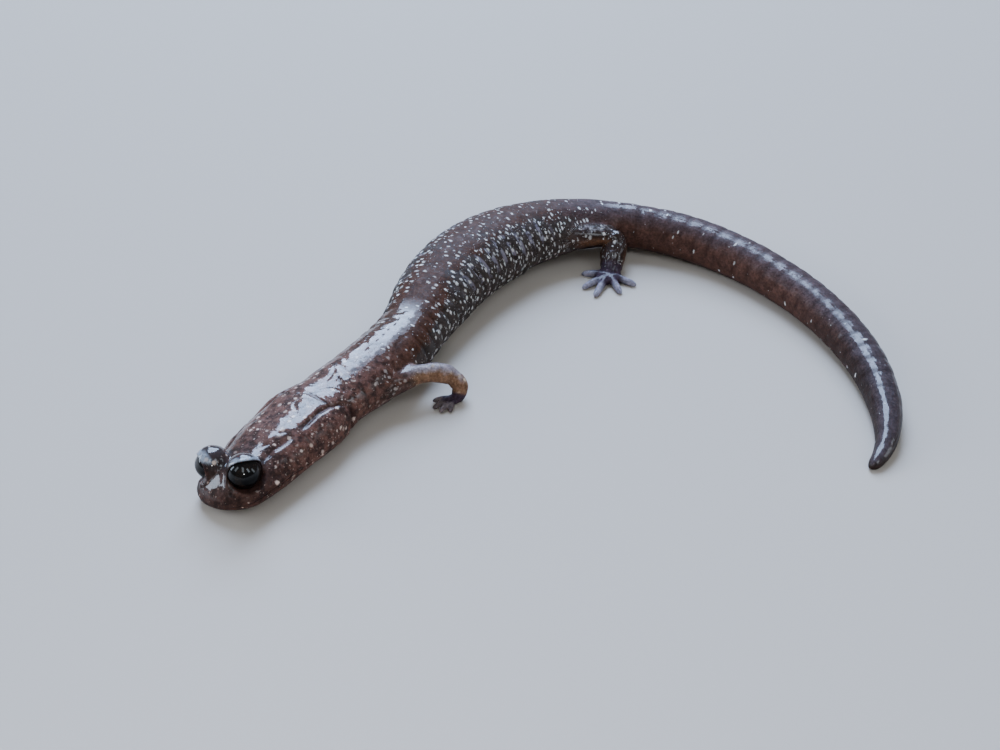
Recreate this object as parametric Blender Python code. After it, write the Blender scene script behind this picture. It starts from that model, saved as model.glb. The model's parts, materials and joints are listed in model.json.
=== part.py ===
"""A life-size Siskiyou Mountains salamander at rest on a level floor, its body in one long bend."""

import math

import bmesh
import bpy
import numpy as np
from mathutils import Matrix, Vector

# Driving sizes. Lengths in the tables are in millimetres, along the middle of the back from the snout.
MM = 0.001
GAP = 0.3
LENGTH = 114.5
GULAR_FOLD = 14.9
SHOULDER = 20.0
AXILLA = 23.2
GROIN = 52.8
HIP = 55.0
VENT = 60.4
NECK_END = 18.4
TAIL_PARTINGS = (78, 97)
TRUNK_FOLDS = 16
FOLD_DEPTH = 0.04

# Way that the spine runs: distance behind the snout, heading in degrees from +X towards +Y
BEND = (
    (0, 61),
    (11, 56),
    (17, 51),
    (29, 72),
    (37, 66),
    (49, 38),
    (56, 22),
    (63, -3),
    (73, -36),
    (87, -62),
    (99, -82),
    (108, -103),
    (112, -114),
    (LENGTH, -123),
)

# Neck, trunk and tail: distance, width, height, clearance under the belly (below zero is a flat that rests)
BODY = (
    (GULAR_FOLD, 6.7, 4.8, 0.3),
    (18, 6.7, 5.1, 0.2),
    (23, 7.1, 5.6, 0.0),
    (29, 6.9, 5.6, -0.12),
    (35, 8.5, 6.6, -0.2),
    (41, 9.2, 7.3, -0.25),
    (47, 9.2, 7.3, -0.2),
    (53, 8.1, 6.6, 0.1),
    (59, 6.2, 5.5, 0.5),
    (64, 5.2, 5.0, 0.4),
    (71, 5.0, 5.0, 0.0),
    (83, 4.5, 4.6, -0.1),
    (95, 4.0, 4.1, -0.1),
    (103, 3.5, 3.6, -0.1),
    (108, 3.0, 3.1, -0.1),
    (111, 2.4, 2.5, -0.1),
    (113.2, 1.5, 1.6, -0.08),
    (LENGTH, 0.4, 0.5, -0.04),
)

# Head: distance, width, height of the crown over the mouth, depth of the jaw, height of the mouth
HEAD = (
    (0, 5.4, 1.9, 0.9, 1.3),
    (2, 5.9, 2.1, 1.1, 1.3),
    (3.5, 6.4, 2.4, 1.25, 1.3),
    (7, 7.7, 2.9, 1.55, 1.4),
    (10, 7.9, 3.1, 1.75, 1.6),
    (12.5, 7.7, 3.1, 1.85, 1.8),
    (GULAR_FOLD, 7.0, 2.8, 1.85, 2.1),
)
NOSE_LENGTH = 2.6
MOUTH_CORNER = 7.8
MOUTH_GROOVE_RADIUS = 0.17
NOSTRIL = (0.7, 1.2, 2.3)
NOSTRIL_RADIUS = 0.2

# The head rolls a little towards the animal's right, fading out between the mouth's corners and the neck
HEAD_ROLL = 11
ROLL_FADE = 8.0

EYE_PLACE = (2.6, 1.9, 3.3)
EYE_RADIUS = 1.25
EYE_GAP = 0.2
EYE_LOOK = (-0.45, 0.85, -0.12)
LID_THICKNESS = 0.25
LID_OPENING = 0.35

BODY_SIDES = 20
HEAD_SIDES = 28
STEP = 0.1

# A leg's own axes lie at its root: back along the spine, out from it, up. Each row ends with the radius.
# A foot has the place and radius of its sole, then how far back and out each toe's tip is from it.
FORELEG_LEFT = (
    (-1.0, 1.2, 2.5, 1.2),
    (0.2, 3.1, 2.8, 1.15),
    (2.2, 3.9, 3.1, 1.05),
    (3.7, 4.9, 3.0, 0.98),
    (4.9, 6.2, 2.5, 0.92),
    (5.2, 7.1, 1.5, 0.82),
    (4.8, 7.3, 0.6, 0.7),
)
HAND_LEFT = ((4.6, 6.7, 0.4), 0.9, ((-1.5, 0.3), (-2.0, -0.3), (-1.8, -1.0), (-1.0, -1.5)))
FORELEG_RIGHT = (
    (-0.6, 1.2, 2.4, 1.1),
    (0.8, 3.0, 2.1, 1.05),
    (2.6, 3.9, 1.8, 0.9),
    (4.4, 4.4, 1.5, 0.85),
    (3.2, 4.9, 0.9, 0.75),
    (2.0, 5.0, 0.45, 0.65),
)
HAND_RIGHT = ((1.6, 4.9, 0.35), 0.9, ((-1.4, -0.9), (-2.2, -0.3), (-2.1, 0.5), (-1.2, 1.0)))
HINDLEG_LEFT = (
    (-1.8, 1.0, 3.0, 1.4),
    (-0.4, 2.5, 3.3, 1.45),
    (2.0, 3.9, 3.6, 1.4),
    (4.6, 4.3, 3.4, 1.35),
    (5.3, 5.1, 2.5, 1.25),
    (4.6, 6.2, 1.5, 1.15),
    (3.7, 7.3, 0.65, 0.9),
)
FOOT_LEFT = ((3.0, 8.0, 0.35), 1.1, ((-1.9, -2.0), (-3.5, 1.0), (-3.3, 3.0), (-0.3, 3.4), (1.7, 2.5)))
HINDLEG_RIGHT = (
    (-1.2, 1.2, 2.6, 1.4),
    (0.6, 2.6, 2.5, 1.35),
    (3.0, 3.6, 2.2, 1.25),
    (4.9, 4.3, 1.8, 1.1),
    (4.2, 5.0, 1.1, 1.0),
    (3.0, 5.6, 0.6, 0.8),
)
FOOT_RIGHT = ((2.4, 5.8, 0.35), 1.1, ((-1.6, -1.2), (-2.6, -0.3), (-2.8, 0.8), (-1.8, 1.8), (0.2, 1.9)))
TOE_RADIUS = 0.36

# Wet skin: base colour, roughness
COLOURS = {
    "head": ((0.100, 0.040, 0.028), 0.28),
    "eye": ((0.004, 0.004, 0.005), 0.05),
    "neck": ((0.085, 0.038, 0.030), 0.28),
    "trunk": ((0.050, 0.030, 0.028), 0.30),
    "tail": ((0.070, 0.030, 0.028), 0.28),
    "leg": ((0.170, 0.080, 0.045), 0.32),
}


def smooth(table, place):
    """Values at a place, read from a smooth curve through the rows of a table that start with their place."""
    rows = np.array(table, float)
    places = rows[:, 0]
    slopes = np.gradient(rows[:, 1:], places, axis=0)
    i = int(np.clip(np.searchsorted(places, place) - 1, 0, len(rows) - 2))
    step = places[i + 1] - places[i]
    t = min(max((place - places[i]) / step, 0), 1)
    ends = (2 * t**3 - 3 * t**2 + 1) * rows[i, 1:] + (3 * t**2 - 2 * t**3) * rows[i + 1, 1:]
    return ends + step * ((t**3 - 2 * t**2 + t) * slopes[i] + (t**3 - t**2) * slopes[i + 1])


def walk_spine():
    """Distances, headings and plan points of the spine, a short step apart."""
    distances = np.arange(0, LENGTH + STEP, STEP)
    headings = np.radians([smooth(BEND, distance)[0] for distance in distances])
    steps = STEP * np.stack([np.cos(headings), np.sin(headings)], axis=1)
    points = np.concatenate([[[0, 0]], np.cumsum(steps[:-1], axis=0)])
    return distances, headings, points


DISTANCES, HEADINGS, SPINE = walk_spine()


def spine_axes(along):
    """Plan point of the spine at a distance behind the snout, with its ways back and to the animal's left."""
    heading = np.interp(along, DISTANCES, HEADINGS)
    point = Vector((np.interp(along, DISTANCES, SPINE[:, 0]), np.interp(along, DISTANCES, SPINE[:, 1]), 0))
    back = Vector((math.cos(heading), math.sin(heading), 0))
    left = Vector((math.sin(heading), -math.cos(heading), 0))
    return point, back, left


def place(along, out, up):
    """Point at a distance behind the snout, a distance to the animal's left and a height."""
    point, _, left = spine_axes(along)
    return (point + left * float(out) + Vector((0, 0, up))) * MM


def head_place(along, out, up):
    """Point of the head, rolled about the line of the mouth; what would pass under the floor rests on it."""
    mouth = smooth(HEAD, along)[3]
    fade = min(max((along - ROLL_FADE) / (GULAR_FOLD - ROLL_FADE), 0), 1)
    turn = math.radians(HEAD_ROLL) * (1 - fade**2 * (3 - 2 * fade))
    across = out * math.cos(turn) - (up - mouth) * math.sin(turn)
    level = mouth + (up - mouth) * math.cos(turn) + out * math.sin(turn)
    return place(along, across, max(level, 0))


def rounded(angle, power):
    """Point of a circle that swells towards a square as the power passes 2."""
    across, up = math.cos(angle), math.sin(angle)
    exponent = 2 / power
    return math.copysign(abs(across) ** exponent, across), math.copysign(abs(up) ** exponent, up)


def fold_depth(along):
    """Share of the width lost in the grooves between the ribs' folds."""
    if not AXILLA <= along <= GROIN:
        return 0
    turns = (along - AXILLA) / (GROIN - AXILLA) * TRUNK_FOLDS
    return FOLD_DEPTH * math.cos(math.pi * turns) ** 6


def body_ring(along, grow=0):
    width, height, clearance = smooth(BODY, along)
    width += 2 * grow
    height += 2 * grow
    middle = clearance - grow + height / 2
    points = []
    for i in range(BODY_SIDES):
        across, up = rounded(2 * math.pi * (i + 0.5) / BODY_SIDES, 2.15)
        out = width / 2 * across * (1 - fold_depth(along))
        level = middle + height / 2 * up
        points.append(place(along, out, level if grow else max(level, 0)))
    return points


def head_ring(along):
    width, crown, jaw, mouth = smooth(HEAD, along)
    ahead = 1 - min(along / NOSE_LENGTH, 1)
    width *= (1 - ahead**2.6) ** (1 / 2.2)
    crown *= (1 - ahead**2.2) ** (1 / 1.8)
    jaw *= (1 - ahead**2.4) ** (1 / 2)
    points = []
    for i in range(HEAD_SIDES):
        across, up = rounded(2 * math.pi * (i + 0.5) / HEAD_SIDES, 2.3)
        level = mouth + (crown if up > 0 else jaw) * up
        points.append(head_place(along, width / 2 * across, level))
    return points


def collection(name):
    made = bpy.data.collections.new(name)
    bpy.context.scene.collection.children.link(made)
    return made


def add_mesh(name, bm, owner):
    """Makes a mesh object of a bmesh, with its normals out."""
    bmesh.ops.recalc_face_normals(bm, faces=bm.faces)
    mesh = bpy.data.meshes.new(name)
    bm.to_mesh(mesh)
    bm.free()
    made = bpy.data.objects.new(name, mesh)
    owner.objects.link(made)
    return made


def loft(name, rings, owner):
    """Closed mesh through rings of points, with a flat face on each end."""
    bm = bmesh.new()
    rows = [[bm.verts.new(point) for point in ring] for ring in rings]
    sides = len(rings[0])
    for near, far in zip(rows, rows[1:]):
        for i in range(sides):
            following = (i + 1) % sides
            bm.faces.new((near[i], near[following], far[following], far[i]))
    bm.faces.new(rows[0])
    bm.faces.new(rows[-1])
    return add_mesh(name, bm, owner)


def sphere(name, centre, radius, owner, segments=20, rings=12):
    bm = bmesh.new()
    bmesh.ops.create_uvsphere(bm, u_segments=segments, v_segments=rings, radius=radius * MM)
    bmesh.ops.translate(bm, verts=bm.verts, vec=centre)
    return add_mesh(name, bm, owner)


def tube(name, points, radii, owner, resolution=2):
    """Mesh of a round tube along points in metres, its caps welded on."""
    curve = bpy.data.curves.new(name, "CURVE")
    curve.dimensions = "3D"
    curve.bevel_depth = MM
    curve.bevel_resolution = resolution
    curve.use_fill_caps = True
    spline = curve.splines.new("POLY")
    spline.points.add(len(points) - 1)
    for knot, point, radius in zip(spline.points, points, radii):
        knot.co = (*point, 1)
        knot.radius = radius
    drawn = bpy.data.objects.new(name, curve)
    owner.objects.link(drawn)
    graph = bpy.context.evaluated_depsgraph_get()
    bm = bmesh.new()
    bm.from_mesh(bpy.data.meshes.new_from_object(drawn.evaluated_get(graph)))
    bmesh.ops.remove_doubles(bm, verts=bm.verts, dist=1e-6)
    bpy.data.objects.remove(drawn)
    return add_mesh(name, bm, owner)


def limb(name, rows, samples, owner):
    """Tube through rows of point and radius, its far end drawn in to a round tip."""
    table = [(i, *row) for i, row in enumerate(rows)]
    last = len(rows) - 1
    read = [smooth(table, last * i / (samples - 1)) for i in range(samples)]
    points = [Vector(values[:3]) for values in read]
    radii = [values[3] for values in read]
    tip, radius = points[-1], radii[-1]
    ahead = (points[-1] - points[-2]).normalized()
    for turn in (30, 60, 80):
        points.append(tip + ahead * radius * MM * math.sin(math.radians(turn)))
        radii.append(radius * math.cos(math.radians(turn)))
    return tube(name, points, radii, owner)


def boolean(made, other, operation):
    """Joins or cuts with an object or a collection of closed meshes, and applies it."""
    step = made.modifiers.new(operation, "BOOLEAN")
    step.operation = operation
    step.solver = "EXACT"
    if isinstance(other, bpy.types.Collection):
        step.operand_type = "COLLECTION"
        step.collection = other
    else:
        step.object = other
    graph = bpy.context.evaluated_depsgraph_get()
    mesh = bpy.data.meshes.new_from_object(made.evaluated_get(graph))
    made.modifiers.clear()
    made.data = mesh


def keep_largest(made):
    """Drops all but the largest closed surface."""
    bm = bmesh.new()
    bm.from_mesh(made.data)
    bm.verts.ensure_lookup_table()
    left = set(bm.verts)
    groups = []
    while left:
        group = set()
        front = [next(iter(left))]
        while front:
            vertex = front.pop()
            if vertex in group:
                continue
            group.add(vertex)
            front.extend(edge.other_vert(vertex) for edge in vertex.link_edges)
        left -= group
        groups.append(group)
    groups.sort(key=len)
    loose = [vertex for group in groups[:-1] for vertex in group]
    bmesh.ops.delete(bm, geom=loose, context="VERTS")
    bm.to_mesh(made.data)
    bm.free()


def fuse(made, pieces):
    """Joins the pieces of a collection to an object and removes them."""
    boolean(made, pieces, "UNION")
    for piece in list(pieces.objects):
        bpy.data.objects.remove(piece)
    bpy.data.collections.remove(pieces)


def finish(made, colour):
    """Gives a node its skin and its shading."""
    base, roughness = COLOURS[colour]
    material = bpy.data.materials.get(colour) or bpy.data.materials.new(colour)
    material.use_nodes = True
    shader = material.node_tree.nodes["Principled BSDF"]
    shader.inputs["Base Color"].default_value = (*base, 1)
    shader.inputs["Roughness"].default_value = roughness
    shader.inputs["Metallic"].default_value = 0
    made.data.materials.clear()
    made.data.materials.append(material)
    made.data.shade_smooth()
    made.data.set_sharp_from_angle(angle=math.radians(50))


def stations(start, end):
    """Distances of the rings of one length of the body, closer where the flank is folded."""
    fold = (GROIN - AXILLA) / TRUNK_FOLDS
    folded = [AXILLA + fold * (i + part) for i in range(TRUNK_FOLDS) for part in (0, 0.3, 0.7)]
    plain = list(np.arange(GULAR_FOLD, AXILLA - 0.5, 1.3)) + list(np.arange(GROIN, LENGTH - 3, 1.8))
    closing = [LENGTH - 3, LENGTH - 2, LENGTH - 1.2, LENGTH - 0.5]
    inner = [along for along in folded + plain + closing if start + 0.5 < along < end - 0.5]
    return [start + GAP / 2, *sorted(inner), end - GAP / 2]


def make_length(name, start, end, colour, owner):
    made = loft(name, [body_ring(along) for along in stations(start, end)], owner)
    finish(made, colour)


def eye_centre(side):
    along, out, up = EYE_PLACE
    return head_place(along, out * side, up)


def eye_axis(side):
    """Way that an eye looks."""
    backward, out, up = EYE_LOOK
    _, back, left = spine_axes(EYE_PLACE[0])
    turn = math.radians(HEAD_ROLL)
    across = out * side * math.cos(turn) - up * math.sin(turn)
    rise = up * math.cos(turn) + out * side * math.sin(turn)
    return (back * backward + left * across + Vector((0, 0, rise))).normalized()


def lid_cup(side, owner):
    """Swelling round an eyeball that ends in the rims of its two lids."""
    radius = EYE_RADIUS + EYE_GAP + LID_THICKNESS
    made = sphere("lid", eye_centre(side), radius, owner, 24, 14)
    bm = bmesh.new()
    bm.from_mesh(made.data)
    axis = eye_axis(side)
    cut = eye_centre(side) + axis * LID_OPENING * MM
    everything = list(bm.verts) + list(bm.edges) + list(bm.faces)
    bmesh.ops.bisect_plane(bm, geom=everything, plane_co=cut, plane_no=axis, clear_outer=True)
    bmesh.ops.holes_fill(bm, edges=bm.edges)
    bmesh.ops.recalc_face_normals(bm, faces=bm.faces)
    bm.to_mesh(made.data)
    bm.free()


def mouth_line(owner):
    """Thin round groove along the lips, from one corner of the mouth round the snout to the other."""
    points = []
    for along in [MOUTH_CORNER - 0.55 * i for i in range(13)] + [1.0, 0.6, 0.3, 0.12]:
        ring = head_ring(along)
        lip = (ring[0] + ring[-1]) / 2
        points.append(lip)
    other = []
    for along in [0.12, 0.3, 0.6, 1.0] + [MOUTH_CORNER - 0.55 * i for i in range(12, -1, -1)]:
        ring = head_ring(along)
        half = HEAD_SIDES // 2
        other.append((ring[half - 1] + ring[half]) / 2)
    points += other
    return tube("mouth", points, [MOUTH_GROOVE_RADIUS] * len(points), owner)


def nostril(side, owner):
    along, out, up = NOSTRIL
    return sphere("nostril", head_place(along, out * side, up), NOSTRIL_RADIUS, owner, 8, 6)


def make_head(owner):
    ahead = [0.08, 0.25, 0.55, 0.95, 1.45, 2.0, 2.6]
    inner = list(np.arange(3.3, GULAR_FOLD - 0.6, 0.9))
    places = [*ahead, *inner, GULAR_FOLD - GAP / 2]
    made = loft("head", [head_ring(along) for along in places], owner)
    swellings = collection("lids")
    for side in (1, -1):
        lid_cup(side, swellings)
    fuse(made, swellings)
    cutters = collection("hollows")
    for side in (1, -1):
        sphere("socket", eye_centre(side), EYE_RADIUS + EYE_GAP, cutters, 20, 12)
        nostril(side, cutters)
    mouth_line(cutters)
    boolean(made, cutters, "DIFFERENCE")
    for piece in list(cutters.objects):
        bpy.data.objects.remove(piece)
    bpy.data.collections.remove(cutters)
    keep_largest(made)
    finish(made, "head")


def make_eye(name, side, owner):
    made = sphere(name, eye_centre(side), EYE_RADIUS, owner, 20, 12)
    finish(made, "eye")


def flank_cutter(root, owner):
    """The body round a leg's root, larger by the gap that the leg keeps to it."""
    places = np.arange(root - 9, root + 12, 1.0)
    return loft("flank", [body_ring(along, GAP) for along in places], owner)


def floor_cutter(owner):
    bm = bmesh.new()
    bmesh.ops.create_cube(bm, size=200 * MM)
    bmesh.ops.translate(bm, verts=bm.verts, vec=(0, 0, -100 * MM))
    return add_mesh("floor", bm, owner)


def make_leg(name, root, side, rows, foot, owner):
    """Leg with its foot: a bent limb, a flat sole and the toes, cut clear of the flank and of the floor."""
    origin, back, left = spine_axes(root)

    def at(backward, out, up):
        return (origin + back * backward + left * (out * side) + Vector((0, 0, up))) * MM

    made = limb(name, [(*at(*row[:3]), row[3]) for row in rows], 16, owner)
    pieces = collection("foot")
    sole, sole_radius, toes = foot
    middle = at(*sole)
    pad = sphere("sole", Vector(), sole_radius, pieces, 12, 8)
    pad.data.transform(Matrix.Translation(middle) @ Matrix.Diagonal((1, 1, 0.5, 1)))
    for toe in toes:
        tip = at(sole[0] + toe[0], sole[1] + toe[1], 0.22)
        knuckle = middle.lerp(tip, 0.5) + Vector((0, 0, 0.08 * MM))
        bones = [(*middle, TOE_RADIUS), (*knuckle, TOE_RADIUS), (*tip, TOE_RADIUS * 0.85)]
        limb("toe", bones, 5, pieces)
    fuse(made, pieces)
    cutters = collection("clear")
    flank_cutter(root, cutters)
    floor_cutter(cutters)
    boolean(made, cutters, "DIFFERENCE")
    for piece in list(cutters.objects):
        bpy.data.objects.remove(piece)
    bpy.data.collections.remove(cutters)
    keep_largest(made)
    finish(made, "leg")


def centre_on_origin(parts):
    """Moves the whole animal so that the middle of its box in plan is at the origin."""
    points = np.array([vertex.co for made in parts.objects for vertex in made.data.vertices])
    middle = (points.min(axis=0) + points.max(axis=0)) / 2
    for made in parts.objects:
        for vertex in made.data.vertices:
            vertex.co.x -= middle[0]
            vertex.co.y -= middle[1]


def main():
    for old in list(bpy.data.objects):
        bpy.data.objects.remove(old)
    parts = collection("salamander")
    make_head(parts)
    make_eye("eye_left", 1, parts)
    make_eye("eye_right", -1, parts)
    fold = (GROIN - AXILLA) / TRUNK_FOLDS
    front_end = AXILLA + 5 * fold
    rear_start = AXILLA + 11 * fold
    make_length("neck", GULAR_FOLD, NECK_END, "neck", parts)
    make_length("trunk_front", NECK_END, front_end, "trunk", parts)
    make_length("trunk_mid", front_end, rear_start, "trunk", parts)
    make_length("trunk_rear", rear_start, VENT, "trunk", parts)
    make_length("tail_base", VENT, TAIL_PARTINGS[0], "tail", parts)
    make_length("tail_mid", *TAIL_PARTINGS, "tail", parts)
    make_length("tail_tip", TAIL_PARTINGS[1], LENGTH + GAP / 2, "tail", parts)
    make_leg("foreleg_left", SHOULDER, 1, FORELEG_LEFT, HAND_LEFT, parts)
    make_leg("foreleg_right", SHOULDER, -1, FORELEG_RIGHT, HAND_RIGHT, parts)
    make_leg("hindleg_left", HIP, 1, HINDLEG_LEFT, FOOT_LEFT, parts)
    make_leg("hindleg_right", HIP, -1, HINDLEG_RIGHT, FOOT_RIGHT, parts)
    centre_on_origin(parts)


main()
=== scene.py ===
import json
import math
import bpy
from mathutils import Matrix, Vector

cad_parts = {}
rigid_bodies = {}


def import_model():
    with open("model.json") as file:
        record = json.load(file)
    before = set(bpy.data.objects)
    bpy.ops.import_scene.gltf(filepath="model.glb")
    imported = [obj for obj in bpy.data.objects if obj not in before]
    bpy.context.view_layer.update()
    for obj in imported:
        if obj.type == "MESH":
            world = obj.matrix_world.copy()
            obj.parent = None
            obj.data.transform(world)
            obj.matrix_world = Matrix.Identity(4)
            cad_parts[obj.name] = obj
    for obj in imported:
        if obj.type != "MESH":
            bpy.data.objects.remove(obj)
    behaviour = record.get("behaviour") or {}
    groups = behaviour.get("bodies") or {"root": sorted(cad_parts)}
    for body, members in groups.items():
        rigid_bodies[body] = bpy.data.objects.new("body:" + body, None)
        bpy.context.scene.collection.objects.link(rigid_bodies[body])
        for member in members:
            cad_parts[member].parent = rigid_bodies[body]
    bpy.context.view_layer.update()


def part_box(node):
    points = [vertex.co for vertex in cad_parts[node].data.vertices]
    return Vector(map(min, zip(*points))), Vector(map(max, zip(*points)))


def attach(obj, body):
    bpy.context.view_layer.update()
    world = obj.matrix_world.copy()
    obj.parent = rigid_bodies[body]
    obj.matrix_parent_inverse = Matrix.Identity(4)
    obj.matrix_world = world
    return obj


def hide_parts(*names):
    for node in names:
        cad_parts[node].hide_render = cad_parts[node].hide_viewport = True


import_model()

from types import SimpleNamespace

import bpy
import numpy as np
from numpy.linalg import norm
from mathutils import Vector, noise

mm = 0.001

# lengths are in mm, and distances run from the snout along the back
spine = {
    "length": 115.0,
    "step": 0.1,
    # distance, heading in degrees from +X towards +Y
    "bend": [(0, 61), (11, 56), (17, 51), (29, 72), (37, 66), (49, 38), (56, 22), (63, -3), (73, -36),
             (87, -62), (99, -82), (108, -101), (111, -112), (113, -125), (115, -144)],
}

body = {
    # distance, width, height, clearance under the belly
    "sections": [(14.9, 6.7, 4.8, 0.3), (18, 6.7, 5.1, 0.2), (23, 7.1, 5.6, 0.0), (29, 6.9, 5.6, -0.12),
                 (35, 8.5, 6.6, -0.2), (41, 9.2, 7.3, -0.25), (47, 9.2, 7.3, -0.2), (53, 8.1, 6.6, 0.1),
                 (59, 6.2, 5.5, 0.5), (64, 5.2, 5.0, 0.4), (71, 5.0, 5.0, 0.0), (83, 4.5, 4.6, -0.1),
                 (95, 4.0, 4.1, -0.1), (103, 3.4, 3.5, -0.1), (108, 2.7, 2.8, -0.1),
                 (111, 2.0, 2.1, -0.1), (113.2, 1.4, 1.4, -0.06), (115, 0.9, 0.9, -0.03)],
    "squareness": 2.15,
    "tipRound": 0.9,
    "sides": 160,
    "foldStart": 23.2, "foldEnd": 52.8, "folds": 16, "foldDepth": 0.21,
    "tailRingStart": 61, "tailRingEnd": 110, "tailRingGap": 2.0, "tailRingDepth": 0.06,
}

head = {
    # distance, width, crown over the mouth, depth of the jaw, height of the mouth
    "sections": [(0, 6.1, 2.0, 0.9, 1.3), (2, 6.9, 2.3, 1.1, 1.3), (3.5, 7.4, 2.5, 1.25, 1.3),
                 (7, 8.0, 2.95, 1.55, 1.4), (10, 8.0, 3.1, 1.75, 1.6), (12.5, 7.7, 3.1, 1.85, 1.8),
                 (14.9, 7.0, 2.8, 1.85, 2.1)],
    "squareness": 2.3, "browSquareness": 1.8,
    # how far back the nose is rounded, and the powers that round its width, crown and jaw
    "nose": 2.6, "noseCurves": [(2.6, 1 / 2.2), (2.2, 1 / 1.8), (2.4, 0.5)],
    "roll": 11, "rollFade": 8.0, "fold": 14.9,
    "neckBlend": (13.8, 16.4),
    "mouthCorner": 7.6,
}

eyes = {
    "packed": (2.6, 1.9, 3.3),
    "place": (2.6, 1.95, 3.5),
    "look": (-0.42, 0.86, -0.04),
    "radius": 1.42,
    # how far the right eye is drawn in, and how much the clear front stands out
    "tuck": 0.22, "bulge": 0.045,
    # radii of the lids' ball, of what the upper lid adds and of the rim; how far round the eye
    # the head gives way to the ball, and how softly
    "lid": 1.54, "hood": 0.04, "rim": 1.45, "reach": 3.5, "softness": 0.45,
    # half angles of each opening: up, down, sideways; and how far it is turned towards the tail
    "opening": {1: (54, 48, 82), -1: (36, 42, 80)}, "turn": 22,
    # painted highlight on each lid: distance from the opening, half width, where it starts round the lid
    "lidHighlightPatch": {1: (0.34, 0.2, 0.45), -1: (1.0, 1.0, -0.5)},
}


def smoothTable(rows, places):
    rows = np.array(rows, float)
    at = rows[:, 0]
    slopes = np.gradient(rows[:, 1:], at, axis=0)
    places = np.asarray(places, float)
    i = np.clip(np.searchsorted(at, places) - 1, 0, len(rows) - 2)
    step = at[i + 1] - at[i]
    t = np.clip((places - at[i]) / step, 0, 1)[:, None]
    ends = (2 * t**3 - 3 * t**2 + 1) * rows[i, 1:] + (3 * t**2 - 2 * t**3) * rows[i + 1, 1:]
    return ends + step[:, None] * ((t**3 - 2 * t**2 + t) * slopes[i] + (t**3 - t**2) * slopes[i + 1])


def ease(value, low, high):
    t = np.clip((value - low) / (high - low), 0, 1)
    return t * t * (3 - 2 * t)


def meld(a, b, share):
    return a * (1 - share) + b * share


def walkSpine():
    distances = np.arange(0, spine["length"] + spine["step"], spine["step"])
    headings = np.radians(smoothTable(spine["bend"], distances)[:, 0])
    steps = spine["step"] * np.stack([np.cos(headings), np.sin(headings)], axis=1)
    points = np.concatenate([[[0, 0]], np.cumsum(steps[:-1], axis=0)])
    return distances, headings, points


distances, headings, spinePoints = walkSpine()
offset = np.zeros(3)


def place(along, out, up):
    along, out, up = np.broadcast_arrays(along, out, up)
    heading = np.interp(along, distances, headings)
    x = np.interp(along, distances, spinePoints[:, 0]) + np.sin(heading) * out
    y = np.interp(along, distances, spinePoints[:, 1]) - np.cos(heading) * out
    return np.stack([x, y, up], axis=-1) * mm + offset


def mouthHeight(along):
    flat = np.ravel(np.asarray(along, float))
    return smoothTable(head["sections"], flat)[:, 3].reshape(np.shape(along))


def headRoll(along):
    fade = ease(np.asarray(along, float), head["rollFade"], head["fold"])
    return math.radians(head["roll"]) * (1 - fade)


def headPlace(along, out, up):
    # the head is rolled a little about the line of the mouth
    mouth, turn = mouthHeight(along), headRoll(along)
    across = out * np.cos(turn) - (up - mouth) * np.sin(turn)
    level = mouth + (up - mouth) * np.cos(turn) + out * np.sin(turn)
    return place(along, across, level)


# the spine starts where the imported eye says
low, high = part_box("eye_left")
offset = np.array((low + high) / 2) - headPlace(*(np.array(v) for v in eyes["packed"]))


def eyePlace(side):
    along, out, up = eyes["place"]
    return np.array([along, out if side > 0 else -(out - eyes["tuck"]), up])


def sideways(side):
    # an eye's look, in along, out, up
    backward, out, up = eyes["look"]
    look = np.array([backward, out * side, up])
    return look / norm(look)


def deselectAll():
    bpy.ops.object.select_all(action="DESELECT")


def useOnly(piece):
    deselectAll()
    piece.select_set(True)
    bpy.context.view_layer.objects.active = piece


def mode(name):
    bpy.ops.object.mode_set(mode=name)


# what the mesh holds for the pattern, three numbers under each name
markNames = ("grain", "zone", "shade")


def readMark(layer):
    values = np.empty(len(layer.data) * 3, np.float32)
    layer.data.foreach_get("vector", values)
    return values.reshape(-1, 3)


def writeMark(layer, values):
    layer.data.foreach_set("vector", np.ascontiguousarray(values, np.float32).ravel())


def gridPiece(name, points, *marks):
    # wraps a grid primitive onto rings of points, then closes its seam and its ends
    rings, sides = points.shape[:2]
    deselectAll()
    bpy.ops.mesh.primitive_grid_add(x_subdivisions=sides - 1, y_subdivisions=rings - 1, size=0.01)
    piece = bpy.context.object
    piece.name = name
    mesh = piece.data
    mesh.name = name
    mesh.vertices.foreach_set("co", points.astype(np.float32).ravel())
    for title, values in zip(markNames, marks):
        writeMark(mesh.attributes.new(title, "FLOAT_VECTOR", "POINT"), values)
    mesh.update()
    for layer in list(mesh.uv_layers):
        mesh.uv_layers.remove(layer)
    mode("EDIT")
    bpy.ops.mesh.select_all(action="SELECT")
    bpy.ops.mesh.remove_doubles(threshold=2e-7)
    bpy.ops.mesh.normals_make_consistent(inside=False)
    mode("OBJECT")
    return piece


def unite(piece, other):
    useOnly(piece)
    step = piece.modifiers.new("unite", "BOOLEAN")
    step.operation = "UNION"
    step.solver = "MANIFOLD"
    step.object = other
    bpy.ops.object.modifier_apply(modifier=step.name)
    bpy.data.objects.remove(other)


def edgeEnds(piece):
    ends = np.empty(len(piece.data.edges) * 2, np.int32)
    piece.data.edges.foreach_get("vertices", ends)
    return ends.reshape(-1, 2).T


# x in m; ahead of it, on the snout itself, the marks are near nothing too
snoutEnd = -0.029


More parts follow.
